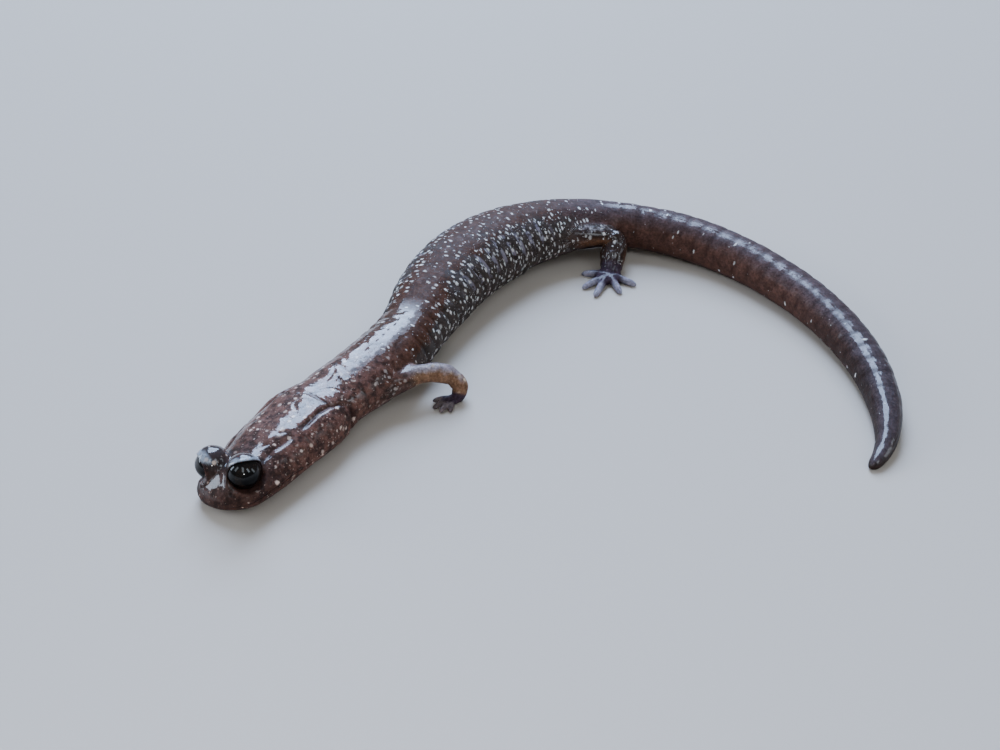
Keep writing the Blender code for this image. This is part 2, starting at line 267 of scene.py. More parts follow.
def fillMarks(piece):
    # new points along a union's seam carry no marks, and take them from their neighbours
    layers = [piece.data.attributes[title] for title in markNames]
    marks = np.concatenate([readMark(layer) for layer in layers], axis=1)
    a, b = edgeEnds(piece)
    known = np.abs(marks[:, 3]) > 1e-5
    known |= vertexPlaces(piece)[:, 0] < snoutEnd
    for _ in range(30):
        if known.all():
            break
        count = np.bincount(a, known[b], len(known)) + np.bincount(b, known[a], len(known))
        ready = ~known & (count > 0)
        for column in range(marks.shape[1]):
            kept = marks[:, column] * known
            total = np.bincount(a, kept[b], len(known)) + np.bincount(b, kept[a], len(known))
            marks[ready, column] = total[ready] / count[ready]
        known |= ready
    for i, layer in enumerate(layers):
        writeMark(layer, marks[:, 3 * i:3 * i + 3])


def vertexPlaces(piece):
    values = np.empty(len(piece.data.vertices) * 3, np.float32)
    piece.data.vertices.foreach_get("co", values)
    return values.reshape(-1, 3).astype(float)


def setPlaces(piece, places):
    piece.data.vertices.foreach_set("co", places.astype(np.float32).ravel())
    piece.data.update()


def softenCreases(piece, centre, reach, angle, grow, passes):
    # smooths the sharp edges that lie within reach of a place, all in mm
    useOnly(piece)
    mode("EDIT")
    bpy.ops.mesh.select_mode(type="EDGE")
    bpy.ops.mesh.select_all(action="DESELECT")
    bpy.ops.mesh.edges_select_sharp(sharpness=math.radians(angle))
    bpy.ops.mesh.select_mode(type="VERT")
    mode("OBJECT")
    near = norm(vertexPlaces(piece) - np.array(centre), axis=1) < reach * mm
    chosen = np.empty(len(near), bool)
    piece.data.vertices.foreach_get("select", chosen)
    for part in (*piece.data.polygons, *piece.data.edges):
        part.select = False
    piece.data.vertices.foreach_set("select", chosen & near)
    mode("EDIT")
    for _ in range(grow):
        bpy.ops.mesh.select_more()
    bpy.ops.mesh.vertices_smooth(factor=0.5, repeat=passes)
    bpy.ops.mesh.select_all(action="DESELECT")
    mode("OBJECT")


def wobble(points, size, seed):
    # smooth noise from -1 to 1, one value a point, its lumps about size mm apart
    scale = 1 / (size * mm)
    shift = Vector((seed * 7.3, seed * 3.1, seed * 5.7))
    flat = points.reshape(-1, 3)
    return np.array([noise.noise(Vector(p) * scale + shift) for p in flat]).reshape(points.shape[:-1])


def distanceToLine(points, line):
    # distance in mm from each point to a bent line, and how far along the line its nearest place is
    line = np.array(line, float)
    best = np.full(points.shape[:-1], 1e9)
    share = np.zeros(points.shape[:-1])
    for i in range(len(line) - 1):
        a, b = line[i], line[i + 1]
        run = b - a
        t = np.clip(((points - a) @ run) / (run @ run), 0, 1)
        gap = norm(points - a - t[..., None] * run, axis=-1)
        closer = gap < best
        best = np.where(closer, gap, best)
        share = np.where(closer, (i + t) / (len(line) - 1), share)
    return best, share


# creases of the skin
creases = [
    # points in along, out, up; then depth, half width, whether both sides have it
    ([(4.4, 2.3, 3.35), (5.7, 2.35, 3.6), (6.9, 2.7, 3.62), (8.2, 2.86, 3.72)], 0.11, 0.26, True),
    ([(9.2, 2.84, 3.84), (9.8, 2.78, 3.96), (10.7, 2.62, 4.17), (11.7, 2.52, 4.28), (12.7, 2.5, 4.32),
      (13.8, 2.64, 4.19), (14.7, 2.95, 3.86)], 0.2, 0.22, True),
    ([(14.6, 2.95, 3.86), (14.8, 3.3, 3.2), (14.6, 3.5, 2.6), (14.2, 3.4, 1.5), (14.4, 2.2, 0.4),
      (14.6, 0, 0.25)], 0.22, 0.28, True),
    ([(12.8, -0.3, 4.95), (12.7, 0.6, 4.92), (12.7, 1.5, 4.75), (12.9, 2.4, 4.4)], 0.1, 0.13, False),
    ([(15.9, 0.3, 5.2), (15.7, 1.1, 5.05), (15.4, 1.7, 4.85), (15.0, 2.2, 4.5)], 0.12, 0.14, False),
    ([(17.4, -1.2, 5.0), (17.2, 0.1, 5.2), (17.3, 1.4, 5.0), (17.6, 2.4, 4.4)], 0.07, 0.14, False),
    ([(13.6, 0.2, 4.95), (14.4, 0.9, 4.95), (15.0, 1.9, 4.7)], 0.07, 0.12, False),
    ([(8.2, 2.9, 3.7), (8.5, 3.5, 2.9), (8.2, 3.85, 2.1), (7.6, 3.85, 1.5)], 0.09, 0.16, True),
    ([(0.8, 1.25, 2.3), (0.95, 1.75, 1.85), (1.15, 2.15, 1.35)], 0.06, 0.07, True),
    ([(3.9, 3.1, 2.0), (4.6, 3.3, 1.95), (5.6, 3.5, 2.05)], 0.06, 0.12, True),
]

swellings = [
    # along, out, up, radius, height
    (11.4, 3.4, 3.3, 2.1, 0.3),
    (9.0, 3.6, 2.9, 1.3, 0.1),
    (6.0, 3.2, 2.9, 1.2, 0.14),
    (1.1, 1.5, 2.4, 0.6, 0.12),
    (2.0, 2.5, 1.9, 0.9, 0.08),
    (7.5, 1.2, 4.2, 1.8, 0.08),
    (19.8, 3.0, 2.6, 1.9, 0.3),
    (53.8, 3.5, 3.2, 2.4, 0.4),
    (56.2, 3.0, 3.4, 2.2, 0.25),
]

nostrils = {"place": (0.8, 1.6, 2.4), "radius": 0.15, "depth": 0.22}


def ringPlaces():
    nose = [0, 0.03, 0.08, 0.15, 0.23, 0.32, 0.42, 0.53, 0.65, 0.77, 0.9]
    pieces = [np.array(nose), np.arange(1.0, 5.4, 0.1), np.arange(5.4, 15.5, 0.15), np.arange(15.5, 60, 0.24),
              np.arange(60, 110, 0.32), np.arange(110, 114.1, 0.2),
              spine["length"] - np.array([0.8, 0.65, 0.5, 0.38, 0.27, 0.17, 0.09, 0.04, 0])]
    return np.concatenate(pieces)


def ringAngles():
    # closer together along the lips and the back than under the belly
    fine = np.linspace(-math.pi / 2, 1.5 * math.pi, 4001)
    lift = np.sin(fine)
    density = 0.5 + 0.5 * ease(lift, -0.7, -0.2) + 1.5 * np.exp(-(lift / 0.1) ** 2)
    density = density + 0.15 * ease(lift, 0.6, 0.95)
    count = np.concatenate([[0], np.cumsum((density[1:] + density[:-1]) / 2)])
    return np.interp(np.linspace(0, count[-1], body["sides"] + 1), count, fine)


def swell(value, power):
    return np.sign(value) * np.abs(value) ** (2 / power)


def crossSections(along, angles):
    # out and up of every point in the body's own frame, and the level that each ring is drawn about
    wide, crown, jaw, mouth = smoothTable(head["sections"], along).T
    ahead = 1 - np.clip(along / head["nose"], 0, 1)
    wide, crown, jaw = (value * (1 - ahead**power) ** root
                        for value, (power, root) in zip((wide, crown, jaw), head["noseCurves"]))
    width, height, clearance = smoothTable(body["sections"], along).T
    behind = np.clip((along - spine["length"] + body["tipRound"]) / body["tipRound"], 0, 1)
    closing = np.sqrt(1 - behind**2)
    neck = ease(along, *head["neckBlend"])
    wide = meld(wide, width * closing, neck)
    top = meld(crown, height / 2 * closing, neck)
    bottom = meld(jaw, height / 2 * closing, neck)
    level = meld(mouth, clearance + height / 2, neck)
    power = meld(head["squareness"], body["squareness"], neck)
    across, lift = np.cos(angles)[None, :], np.sin(angles)[None, :]
    brow = head["browSquareness"] + (power - head["browSquareness"]) * ease(along, 4.5, 8)
    power = np.where(lift > 0, brow[:, None], power[:, None])
    out = wide[:, None] / 2 * swell(across, power)
    rise = swell(lift, power)
    up = level[:, None] + np.where(rise > 0, top[:, None], bottom[:, None]) * rise
    return out, up, level


def raiseLids(along, out, up, level):
    # each ring's outline is pushed out to the ball of the lids
    for side in (1, -1):
        eyeAlong, eyeOut, eyeUp = eyePlace(side)
        toOut, toUp = eyeOut, eyeUp - level[:, None]
        reach = np.hypot(out, up - level[:, None]) + 1e-9
        dirOut, dirUp = out / reach, (up - level[:, None]) / reach
        nearest = dirOut * toOut + dirUp * toUp
        ball = (eyes["lid"] + eyes["hood"] / 2) ** 2 - (along[:, None] - eyeAlong) ** 2
        inside = ball - (toOut**2 + toUp**2 - nearest**2)
        far = nearest + np.where(inside > 0, 1, -2) * np.sqrt(np.abs(inside))
        gap = np.where(nearest > 0, far, -2) - reach
        grown = reach + (gap + np.sqrt(gap**2 + eyes["softness"]**2)) / 2
        out, up = dirOut * grown, level[:, None] + dirUp * grown
    return out, up


def eyeTerms(local, side):
    # how far round the ball of an eye each point lies, seen along the eye's look,
    # and the half angle of the opening there
    look = sideways(side)
    tilt = math.radians(eyes["turn"])
    upward = np.array([math.sin(tilt), 0, math.cos(tilt)])
    upward -= look * (upward @ look)
    upward /= norm(upward)
    away = local - eyePlace(side)
    distance = norm(away, axis=-1) + 1e-9
    height = away @ look
    across = away - height[..., None] * look
    reach = norm(across, axis=-1) + 1e-9
    across = across / reach[..., None]
    ball = eyes["lid"]
    ahead = np.arcsin(np.clip(reach / ball, 0, 1)) + np.maximum(reach / ball - 1, 0)
    behind = np.arccos(np.clip(height / distance, -1, 1)) + np.maximum(distance / ball - 1, 0)
    angle = np.where(height > 0, ahead, behind)
    lean = across @ upward
    up, down, corner = (math.radians(v) for v in eyes["opening"][side])
    opening = corner + (up - down) / 2 * lean + ((up + down) / 2 - corner) * lean**2
    return look, distance, angle, across, lean, opening


def openEyes(local):
    # the skin lies on the lids' ball round each opening, and turns in behind the eyeball inside it
    edge = 0.07
    held, upper, shadeBelowEye, pale, margins = (np.zeros(local.shape[:-1]) for _ in range(5))
    for side in (1, -1):
        look, distance, angle, across, lean, opening = eyeTerms(local, side)
        near = distance < eyes["reach"]
        hold = (1 - ease(angle, opening + 0.08, opening + 0.4)) * near
        inside = (angle < opening - edge) & near
        rim = (np.abs(angle - opening) <= edge) & near
        # a thickened margin, and a shallow fold behind it
        margin = 0.05 * np.exp(-((angle - opening - 0.13) / 0.08) ** 2)
        fold = 0.05 * np.exp(-((angle - opening - 0.5) / 0.09) ** 2) * ease(lean, -0.3, 0.3)
        ball = eyes["lid"] + eyes["hood"] * np.clip(lean, 0, 1) + margin - fold
        # below, the cheek runs up to the margin as it is
        ball = ball + (np.clip(distance, ball, eyes["lid"] + 0.25) - ball) * (1 - ease(lean, -0.4, 0.2))
        share = np.clip(angle / np.maximum(opening - edge, 1e-6), 0, 1)
        turned = np.where(inside, math.pi - (math.pi - opening) * share, np.where(rim, opening, angle))
        outer = np.clip((angle - opening + edge) / (2 * edge), 0, 1)
        reach = np.where(inside, eyes["rim"], np.where(rim, eyes["rim"] + (ball - eyes["rim"]) * outer, ball))
        target = eyePlace(side) + reach[..., None] * (
            look * np.cos(turned)[..., None] + across * np.sin(turned)[..., None])
        local = local + (target - local) * hold[..., None]
        held = np.maximum(held, hold)
        # where the upper lid, the painted highlight on it, the margins and the painted shade below the eye
        # lie
        onLids = near * (1 - ease(distance, 1.8, 2.3))
        above = onLids * (1 - ease(angle, opening + 0.5, opening + 0.95)) * ease(lean, 0.0, 0.4)
        upper = np.maximum(upper, above)
        middle, spread, start = eyes["lidHighlightPatch"][side]
        highlightPatch = onLids * np.exp(-((angle - opening - middle) / spread) ** 2) * ease(lean, start, start + 0.4)
        pale = np.maximum(pale, highlightPatch)
        margins = np.maximum(margins, near * np.exp(-((angle - opening) / 0.14) ** 2) * hold)
        below = near * (1 - ease(angle, opening + 0.02, opening + 0.55)) * (1 - ease(lean, 0.1, 0.7))
        shadeBelowEye = np.maximum(shadeBelowEye, below)
    # the margins are evened out
    for _ in range(6):
        ringed = np.concatenate([local[:, -2:-1], local, local[:, 1:2]], axis=1)
        even = (ringed[:, :-2] + ringed[:, 2:]) / 4
        even[1:-1] += (local[:-2] + local[2:]) / 4
        even[[0, -1]] = local[[0, -1]]
        local = local + 0.6 * margins[..., None] * (even - local)
    return local, held, upper, shadeBelowEye, pale


def onSkin(local, points):
    # the nearest points of the skin
    flat = local.reshape(-1, 3)
    return [flat[np.argmin(np.sum((flat - np.array(point)) ** 2, axis=1))] for point in points]


def creaseDepth(local):
    depth = np.zeros(local.shape[:-1])
    mirrored = local * np.array([1, -1, 1])
    for line, deep, half, both in creases:
        line = onSkin(local, line)
        for points in (local, mirrored) if both else (local,):
            low, high = np.array(line).min(axis=0) - 1, np.array(line).max(axis=0) + 1
            rows = np.nonzero((points[:, 0, 0] > low[0]) & (points[:, 0, 0] < high[0]))[0]
            if not len(rows):
                continue
            part = points[rows[0]:rows[-1] + 1]
            gap, share = distanceToLine(part, line)
            taper = ease(share, -0.02, 0.18) * (1 - ease(share, 0.82, 1.02))
            found = deep * (0.25 + 0.75 * taper) * np.exp(-(gap / half) ** 2)
            depth[rows[0]:rows[-1] + 1] = np.maximum(depth[rows[0]:rows[-1] + 1], found)
    return depth


def mouthLine(local):
    # a thin groove at the lips' level, its corner bent down a little
    along, up = local[..., 0], local[..., 2]
    droop = 0.35 * ease(along, head["mouthCorner"] - 1.6, head["mouthCorner"])
    mouth = mouthHeight(along) - droop + 0.1 * np.exp(-((along - 3.2) / 1.6) ** 2)
    fade = 1 - ease(along, head["mouthCorner"] - 0.5, head["mouthCorner"])
    groove = 0.1 * np.exp(-((up - mouth) / 0.075) ** 2) * fade
    lip = 0.05 * np.exp(-((up - mouth - 0.28) / 0.2) ** 2) * fade
    return groove, lip


def bodyFolds(along, lift):
    # folds between the ribs, the swell between them, and rings round the tail
    start, end = body["foldStart"], body["foldEnd"]
    turns = (along - start) / (end - start) * body["folds"]
    window = ease(along, start - 1, start + 2) * (1 - ease(along, end - 2, end + 1))
    rib = np.cos(math.pi * (turns + 0.18 * lift)) ** 8
    flank = 1 - ease(lift, 0.55, 0.97)
    ribs = rib * window * (0.12 + 0.88 * flank) * ease(lift, -0.95, -0.5)
    between = 0.05 * (1 - rib) * window * flank
    start, end = body["tailRingStart"], body["tailRingEnd"]
    turns = (along - start) / body["tailRingGap"]
    window = ease(along, start, start + 4) * (1 - ease(along, end - 8, end))
    rings = np.cos(math.pi * (turns - 0.2 * np.abs(lift))) ** 12 * window * ease(lift, -0.6, 0.1)
    return ribs, between, rings


def outward(points, middle):
    # normals of the open grid, turned away from its middle
    normal = np.cross(np.gradient(points, axis=1), np.gradient(points, axis=0))
    normal /= norm(normal, axis=-1, keepdims=True) + 1e-12
    facing = np.sum(normal * (points - middle), axis=-1)
    return normal * np.where(np.median(facing) > 0, 1, -1)


def makeSkin():
    along = ringPlaces()
    angles = ringAngles()
    out, up, level = crossSections(along, angles)
    out, up = raiseLids(along, out, up, level)
    local = np.stack([np.broadcast_to(along[:, None], out.shape), out, up], axis=-1)
    baseAlong = local[..., 0].copy()
    lift = np.broadcast_to(np.sin(angles)[None, :], out.shape)
    # every fold and crease is a push along the normal
    groove, lip = mouthLine(local)
    crease = creaseDepth(local)
    push = lip - groove - crease
    mirrored = np.abs(local)
    for *middle, radius, rise in swellings:
        gap = norm(mirrored - onSkin(local, [middle])[0], axis=-1)
        push += rise * np.exp(-(gap / radius) ** 2 * 1.6)
    gap = norm(mirrored - onSkin(local, [nostrils["place"]])[0], axis=-1)
    nostril = np.exp(-(gap / nostrils["radius"]) ** 2)
    push += 0.06 * np.exp(-(gap / (2.4 * nostrils["radius"])) ** 2) - (nostrils["depth"] + 0.06) * nostril
    ribs, between, rings = bodyFolds(baseAlong, lift)
    push -= body["foldDepth"] * ribs
    push += between
    push -= body["tailRingDepth"] * rings
    local, held, upper, shadeBelowEye, pale = openEyes(local)
    points = headPlace(local[..., 0], local[..., 1], local[..., 2])
    middle = place(local[..., 0], 0 * local[..., 1], np.broadcast_to(level[:, None], lift.shape))
    normal = outward(points, middle)
    # broad unevenness, fine unevenness, wrinkles on the head and neck, dents along the back
    calm = 1 - ease(held, 0.2, 0.8)
    ends = ease(baseAlong, 0.1, 0.6) * (1 - ease(baseAlong, 114.1, 114.9))
    wrinkle = np.exp(-(wobble(points, 1.5, 4) / 0.13) ** 2)
    wrinkle = wrinkle * ease(baseAlong, 4, 6) * (1 - ease(baseAlong, 24, 30))
    dash = ease(np.cos(2 * math.pi * baseAlong / 1.15 + 3.5 * wobble(points, 2.5, 5)), -0.1, 0.5)
    dents = np.exp(-((out + 0.25 + 0.25 * wobble(points, 1.4, 8)) / 0.12) ** 2) * (lift > 0) * dash
    dents = dents * ease(baseAlong, 18.5, 20) * (1 - ease(baseAlong, 27, 29))
    push += (0.045 * wobble(points, 1.9, 1) + 0.02 * wobble(points, 0.6, 2)
             - 0.035 * wrinkle * ease(lift, 0.1, 0.5) - 0.03 * dents)
    points = points + normal * (push * calm * ends * mm)[..., None]
    points[:, -1] = points[:, 0]
    points[..., 2] = np.maximum(points[..., 2], 0)
    # where a point is on the animal, for the pattern of the skin
    walked = norm(np.diff(points, axis=1), axis=-1).cumsum(axis=1) / mm
    walked = np.concatenate([np.zeros((len(along), 1)), walked], axis=1)
    arc = walked - walked[:, [np.argmax(lift[0])]]
    grain = np.stack([baseAlong, arc, np.maximum(ribs, dents)], axis=-1)
    zone = np.stack([baseAlong / spine["length"], lift, 0 * arc], axis=-1)
    # painted shade: the creases, the mouth's groove, the nostrils, the gaps between the ribs, the tail's
    # rings and the skin below each eye are darkened
    dark = crease / 0.25 + groove / 0.2 + nostril + 0.35 * ribs + 0.5 * rings + shadeBelowEye
    # the lid mark: up to 0.5 the dark upper lid, above it the painted highlight on the lid
    shade = np.stack([0.5 * upper + 0.5 * pale, np.clip(dark, 0, 1), 0 * arc], axis=-1)
    return gridPiece("skin", points, grain, zone, shade)


skin = makeSkin()
print("skin of head, trunk and tail:", len(skin.data.polygons), "faces")

legs = {
    "forelegLeft": {
        "root": 20.0, "side": 1,
        # back along the spine, out, up, radius
        "rows": [(-1.0, 1.2, 2.5, 1.2), (0.2, 3.1, 2.8, 1.15), (2.2, 3.9, 3.1, 1.05), (3.7, 4.9, 3.0, 0.98),
                 (4.9, 6.2, 2.5, 0.92), (5.2, 7.1, 1.5, 0.82), (4.8, 7.3, 0.6, 0.7)],
        "sole": (4.3, 7.0, 0.35), "soleRadius": 0.72, "toeRadius": 0.4,
        "toes": [(-1.3, 0.7), (-1.9, 0.1), (-1.8, -0.7), (-1.0, -1.3)],
        # rows where the skin is creased round the leg
        "rings": [2.3, 2.62, 2.95, 4.35],
        # where the leg leaves the body: reach in mm, angle, rows of vertices, passes
        "rootBlend": (3.4, 18, 6, 40),
    },
    "forelegRight": {
        "root": 20.0, "side": -1,
        "rows": [(-0.6, 1.2, 2.4, 1.1), (0.8, 3.0, 2.1, 1.05), (2.6, 3.9, 1.8, 0.9), (4.4, 4.4, 1.5, 0.85),
                 (3.2, 4.9, 0.9, 0.75), (2.0, 5.0, 0.45, 0.65)],
        "sole": (1.6, 4.9, 0.35), "soleRadius": 0.8, "toeRadius": 0.42,
        "toes": [(-1.4, -0.9), (-2.2, -0.3), (-2.1, 0.5), (-1.2, 1.0)],
        "rings": [2.6, 2.9],
        "rootBlend": (3.4, 18, 6, 40),
    },
    "hindlegLeft": {
        "root": 55.0, "side": 1,
        "rows": [(-1.8, 1.0, 3.0, 1.4), (-0.4, 2.5, 3.3, 1.45), (2.0, 3.9, 3.6, 1.4), (4.6, 4.3, 3.4, 1.35),
                 (5.2, 5.1, 2.5, 1.42), (4.5, 6.2, 1.5, 1.4), (3.7, 7.3, 0.65, 1.15)],
        "sole": (3.1, 7.9, 0.4), "soleRadius": 1.5, "toeRadius": 0.58,
        "toes": [(-2.0, -1.7), (-3.3, 0.7), (-3.0, 2.6), (-0.4, 3.1), (1.7, 2.4)],
        "rings": [2.7, 3.0, 3.35],
        "rootBlend": (4.6, 12, 10, 120),
    },
    "hindlegRight": {
        "root": 55.0, "side": -1,
        "rows": [(-1.2, 1.2, 2.6, 1.4), (0.6, 2.6, 2.5, 1.35), (3.0, 3.6, 2.2, 1.25), (4.9, 4.3, 1.8, 1.1),
                 (4.2, 5.0, 1.1, 1.0), (3.0, 5.6, 0.6, 0.8)],
        "sole": (2.4, 5.8, 0.35), "soleRadius": 1.1, "toeRadius": 0.5,
        "toes": [(-1.6, -1.2), (-2.6, -0.3), (-2.8, 0.8), (-1.8, 1.8), (0.2, 1.9)],
        "rings": [2.7, 3.0],
        "rootBlend": (4.6, 12, 10, 120),
    },
}


# fingers and toes: height of the end, rise of the middle, taper, the swells at the end and the joint
digits = {"endHeight": 0.3, "arch": 0.16, "taper": 0.25, "endSwell": 0.12, "jointSwell": 0.06}
# how each palm or sole is smoothed, as in rootBlend
footBlend = (4.5, 20, 3, 16)
# where in the pattern each limb, palm and digit starts, so that no two have the same flecks
patternStart = {"first": 200, "limb": 40, "palm": 20, "digits": 24, "digit": 3}


def inLeg(leg, values):
    # places from rows of back, out, up, measured from the leg's root on the spine
    heading = np.interp(leg["root"], distances, headings)
    back = np.array([math.cos(heading), math.sin(heading), 0])
    out = np.array([math.sin(heading), -math.cos(heading), 0]) * leg["side"]
    up = np.array([0, 0, 1])
    values = np.atleast_2d(np.array(values, float))
    across = values[:, [0]] * back + values[:, [1]] * out + values[:, [2]] * up
    return place(leg["root"], 0, 0) + mm * across


def makeTube(name, centres, radii, sides, mark, start, limb, foot):
    # a round closed tube through centres, rounded off at both ends; the last four are what the pattern reads
    centres, radii, limb, foot = (np.array(v, float) for v in (centres, radii, limb, foot))
    ahead = centres[-1] - centres[-2]
    ahead /= norm(ahead)
    behind = centres[0] - centres[1]
    behind /= norm(behind)
    turns = np.radians([20, 40, 58, 72, 82, 90])
    tip = centres[-1] + ahead * radii[-1] * mm * np.sin(turns)[:, None]
    root = centres[0] + behind * radii[0] * mm * np.sin(turns[::-2])[:, None]
    centres = np.concatenate([root, centres, tip])
    radii = np.concatenate([radii[0] * np.cos(turns[::-2]), radii, radii[-1] * np.cos(turns)])
    tangents = np.gradient(centres, axis=0)
    tangents /= norm(tangents, axis=1, keepdims=True)
    normal = np.cross(tangents[0], (0, 0, 1.0))
    frames = []
    for tangent in tangents:
        normal = normal - tangent * (normal @ tangent)
        normal /= norm(normal)
        frames.append((normal, np.cross(tangent, normal)))
    angles = np.linspace(0, 2 * math.pi, sides + 1)
    spread = np.array([np.cos(angles)[:, None] * n + np.sin(angles)[:, None] * b for n, b in frames])
    points = centres[:, None] + spread * (radii * mm)[:, None, None]
    points[:, -1] = points[:, 0]
    walked = np.concatenate([[0], np.cumsum(norm(np.diff(centres, axis=0), axis=1))]) / mm + start
    lift = spread[..., 2]
    arc = np.broadcast_to(angles[None, :], lift.shape) * np.maximum(radii, 0.2)[:, None]
    grain = np.stack([np.broadcast_to(walked[:, None], lift.shape), arc, 0 * arc], axis=-1)
    limb, foot = (np.concatenate([np.full(len(root), v[0]), v, np.full(len(tip), v[-1])])
                  for v in (limb, foot))
    zone = np.stack([np.full(lift.shape, mark), lift, np.broadcast_to(limb[:, None], lift.shape)], axis=-1)
    shade = np.stack([0 * arc, 0 * arc, np.broadcast_to(foot[:, None], lift.shape)], axis=-1)
    # low unevenness, so that no leg is a plain tube
    middles = centres[:, None]
    uneven = 1 + 0.05 * wobble(points, 1.1, 6) + 0.03 * wobble(points, 0.45, 7)
    points = middles + (points - middles) * uneven[..., None]
    points[:, -1] = points[:, 0]
    return gridPiece(name, points, grain, zone, shade)


def makeLeg(name, leg, number):
    rows = leg["rows"]
    table = [(i, *row) for i, row in enumerate(rows)]
    at = np.linspace(0, len(rows) - 1, 90)
    read = smoothTable(table, at)
    radius = read[:, 3].copy()
    for ring in leg["rings"]:
        radius -= 0.07 * np.exp(-((at - ring) / 0.07) ** 2)
    mark = leg["root"] / spine["length"]
    start = patternStart["first"] + patternStart["limb"] * number
    last = len(rows) - 1
    made = makeTube(name, inLeg(leg, read[:, :3]), radius, 40, mark, start, ease(at, 1.1, 2.4),
                    0.4 * ease(at, last - 0.7, last))
    sole = np.array(leg["sole"])
    middle = inLeg(leg, sole)[0]
    step = np.array([0.01, 0, 0]) * mm
    palm = makeTube("palm", [middle - step, middle + step], [leg["soleRadius"]] * 2, 32, mark,
                    start + patternStart["palm"], [1, 1], [0.4, 0.4])
    places = vertexPlaces(palm)
    places[:, 2] = middle[2] + (places[:, 2] - middle[2]) * 0.5
    setPlaces(palm, places)
    unite(made, palm)
    for i, toe in enumerate(leg["toes"]):
        end = sole + np.array([toe[0], toe[1], 0])
        end[2] = digits["endHeight"]
        t = np.linspace(0, 1, 16)
        line = meld(sole, end, t[:, None])
        line[:, 2] += digits["arch"] * np.sin(math.pi * t)
        radius = leg["toeRadius"] * (
            1 - digits["taper"] * t + digits["endSwell"] * np.exp(-((t - 0.97) / 0.1) ** 2)
            + digits["jointSwell"] * np.exp(-((t - 0.62) / 0.07) ** 2))
        tipness = 0.4 + 0.6 * ease(t, 0.35, 0.75)
        begin = start + patternStart["digits"] + patternStart["digit"] * i
        unite(made, makeTube("toe", inLeg(leg, line), radius, 18, mark, begin, np.ones(len(t)), tipness))
    fillMarks(made)
    softenCreases(made, middle, *footBlend)
    places = vertexPlaces(made)
    places[:, 2] = np.maximum(places[:, 2], 0)
    setPlaces(made, places)
    return made


for number, (name, leg) in enumerate(legs.items()):
    unite(skin, makeLeg(name, leg, number))
    fillMarks(skin)
    softenCreases(skin, inLeg(leg, leg["rows"][1][:3])[0], *leg["rootBlend"])
print("skin with its legs:", sum(len(face.vertices) - 2 for face in skin.data.polygons), "triangles")


def blurAttribute(piece, title, column, passes):
    # averages one column of a point attribute over neighbours
    a, b = edgeEnds(piece)
    layer = piece.data.attributes[title]
    values = readMark(layer)
    count = np.bincount(a, minlength=len(values)) + np.bincount(b, minlength=len(values))
    even = values[:, column].astype(float)
    for _ in range(passes):
        total = np.bincount(a, even[b], len(values)) + np.bincount(b, even[a], len(values))
        even = (even + total) / (count + 1)
    values[:, column] = even
    writeMark(layer, values)


blurAttribute(skin, "zone", 1, 30)
blurAttribute(skin, "zone", 2, 40)
blurAttribute(skin, "shade", 2, 16)
useOnly(skin)
bpy.ops.object.shade_smooth()


def makeEye(name, side):
    deselectAll()
    bpy.ops.mesh.primitive_uv_sphere_add(segments=64, ring_count=40, radius=1, location=(0, 0, 0))
    made = bpy.context.object
    made.name = name
    centre = headPlace(*eyePlace(side))
    ahead = Vector(headPlace(*(eyePlace(side) + 0.1 * sideways(side))) - centre).normalized()
    turn = np.array(ahead.to_track_quat("Z", "Y").to_matrix())
    unit = vertexPlaces(made)
    angle = np.arccos(np.clip(unit[:, 2], -1, 1))
    bulge = 1 + eyes["bulge"] * (1 - ease(angle, 0.25, 0.95))
    setPlaces(made, (unit * (bulge * eyes["radius"] * mm)[:, None]) @ turn.T + centre)
    gaze = np.stack([angle, np.arctan2(unit[:, 1], unit[:, 0]), (unit @ turn.T)[:, 2]], axis=-1)
    writeMark(made.data.attributes.new("gaze", "FLOAT_VECTOR", "POINT"), gaze)
    bpy.ops.object.shade_smooth()
    return made


eyeLeft = makeEye("eyeballLeft", 1)
eyeRight = makeEye("eyeballRight", -1)
print("eyes")

# colours of the skin
skinLook = {
    "back": (0.052, 0.021, 0.012), "flank": (0.045, 0.034, 0.03), "belly": (0.045, 0.036, 0.042),
    "head": (0.104, 0.049, 0.038), "headDark": (0.048, 0.024, 0.02), "snout": (0.02, 0.011, 0.009),
    # the last colour on the next line is a painted sheen for the top of the tail
    "tail": (0.08, 0.038, 0.029), "tailEnd": (0.026, 0.015, 0.013), "paintedTailSheen": (0.058, 0.042, 0.048),
    "foreTop": (0.19, 0.155, 0.16), "foreUnder": (0.195, 0.105, 0.062),
    # the second colour on the next line is a painted highlight for the top of the hind legs
    "hindTop": (0.028, 0.015, 0.012), "hindPaintedHighlight": (0.34, 0.33, 0.35), "hindUnder": (0.125, 0.06, 0.034),
    "palm": (0.04, 0.024, 0.036), "toe": (0.22, 0.205, 0.255), "finger": (0.11, 0.085, 0.085),
    # the second colour on the next line is a painted highlight on the lids
    "lid": (0.026, 0.018, 0.019), "paintedLidHighlight": (0.26, 0.29, 0.33),
    # on the next line the first colour is painted shade for the creases, the second a painted sheen and
    # painted reflection
    "crease": (0.018, 0.008, 0.007), "paintedSheen": (0.24, 0.22, 0.28),
    "fleck": (0.74, 0.72, 0.7), "headFleck": (0.66, 0.5, 0.42), "foreFleck": (0.62, 0.46, 0.3),
}

fleckKinds = {
    # flat ones are stretched round the body; cell in mm, smallest and largest radius in cells
    "body": {"flat": True, "cell": 0.52, "stretch": 1.75, "small": 0.17, "large": 0.4, "seed": 0},
    "round": {"cell": 0.62, "small": 0.14, "large": 0.46, "seed": 17},
    "dust": {"cell": 0.22, "small": 0.2, "large": 0.42, "seed": 31},
}


